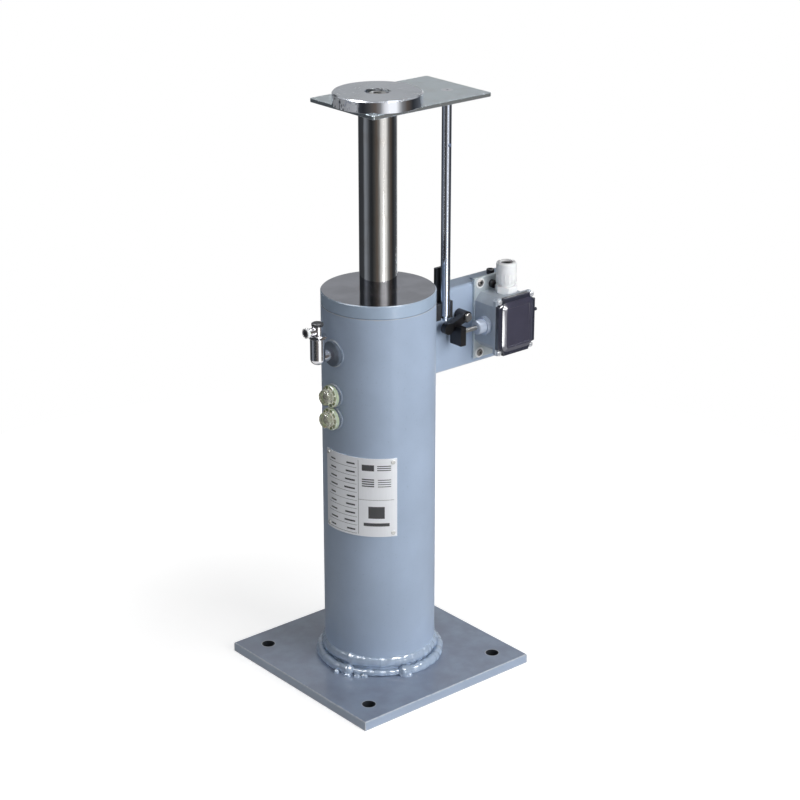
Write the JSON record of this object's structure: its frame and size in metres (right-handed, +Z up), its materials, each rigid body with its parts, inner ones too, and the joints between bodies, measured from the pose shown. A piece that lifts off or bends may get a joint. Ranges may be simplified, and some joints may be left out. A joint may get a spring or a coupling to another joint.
{
  "type": "hydraulic buffer",
  "caption": "Upright oil buffer on a square foot: chromed plunger with a strike disc, oil filler, sight glasses, and a rod that trips a limit switch.",
  "frame": {"origin": "centre of the base plate's underside, on the tube's axis", "axes": "+Z up along the plunger; +X towards the switch; -X towards the filler and the sight glasses; -Y is the side the switch cover faces"},
  "size_m": [0.31, 0.22, 0.609],
  "materials": {
    "tube_paint": "semi-gloss blue-grey enamel",
    "plate_paint": "semi-gloss blue-grey enamel, a little rubbed",
    "cap_paint": "glossy blue-grey enamel",
    "chrome": "hard chrome, ground and polished",
    "zinc": "bright zinc plate",
    "steel": "turned",
    "spring_steel": "oiled",
    "bronze": "machined",
    "rubber": "moulded",
    "black_plastic": "moulded, slightly glossy",
    "black_steel": "blackened",
    "die_cast": "grey-green die casting",
    "grey_plastic": "moulded, light grey",
    "sight_flange": "moulded, yellowish",
    "sight_clear": "clear, pale yellow-green",
    "label": "satin"
  },
  "bodies": {
    "cylinder": {"base_plate": "plate_paint", "base_weld": "plate_paint", "outer_tube": "tube_paint", "cylinder_seat": "steel", "seat_o_ring": "rubber", "foot_valve_cage": "steel", "pressure_cylinder": "steel", "cylinder_cap": "cap_paint", "cap_o_ring": "rubber", "cap_set_screw": "black_steel", "guide_bush": "bronze", "rod_seal": "rubber", "wiper_ring": "rubber", "return_spring": "spring_steel", "filler_boss": "tube_paint", "filler_elbow": "chrome", "filler_collar": "chrome", "vent_tee": "chrome", "vent_cap": "black_plastic", "side_port_ring": "grey_plastic", "side_port_plug": "black_plastic", "sight_bosses": "tube_paint", "sight_seals": "rubber", "sight_plugs": "sight_flange", "sight_domes": "sight_clear", "nameplate": "label", "nameplate_rivets": "steel", "switch_bracket": "tube_paint", "bracket_welds": "tube_paint", "adapter_plate": "zinc", "adapter_screws": "zinc", "clamp_screws": "black_steel", "rod_guide": "black_plastic", "rod_guide_screws": "black_steel", "switch_body": "die_cast", "cover_gasket": "rubber", "switch_cover": "black_plastic", "cover_screws": "zinc", "contact_block": "black_plastic", "plunger_hub": "zinc", "gland_body": "grey_plastic", "gland_nut": "grey_plastic", "gland_seal": "rubber", "lever_pivot_pin": "zinc"},
    "plunger": {"plunger_tube": "chrome", "plunger_plug": "steel", "piston": "steel", "piston_rings": "bronze", "rebound_sleeve": "steel", "head_plate": "zinc", "strike_disc": "steel", "head_bolt": "steel", "switch_rod": "chrome", "rod_screw": "zinc"},
    "lever": {"trip_lever": "black_steel"},
    "pin": {"switch_pin": "steel"},
    "valve": {"foot_valve_plate": "steel"}
  },
  "joints": [
    {"name": "plunger_slide", "type": "slide", "parent": "cylinder", "child": "plunger", "axis": [0, 0, 1], "range_m": [-0.175, 0], "stiffness_N_per_m": 300, "springref_m": 0.25, "deforming": ["return_spring"]},
    {"name": "lever_swing", "type": "hinge", "parent": "cylinder", "child": "lever", "pos_m": [0.1245, 0.0095, 0.351], "axis": [0, 1, 0], "range_deg": [-15, 0]},
    {"name": "pin_slide", "type": "slide", "parent": "cylinder", "child": "pin", "axis": [1, 0, 0], "range_m": [0, 0.0036]},
    {"name": "valve_lift", "type": "slide", "parent": "cylinder", "child": "valve", "axis": [0, 0, 1], "range_m": [0, 0.0015]}
  ],
  "couplings": [
    {"joint": "lever_swing", "follows": "plunger_slide", "rad_per_m": 1.495},
    {"joint": "pin_slide", "follows": "plunger_slide", "ratio": -0.0205}
  ]
}
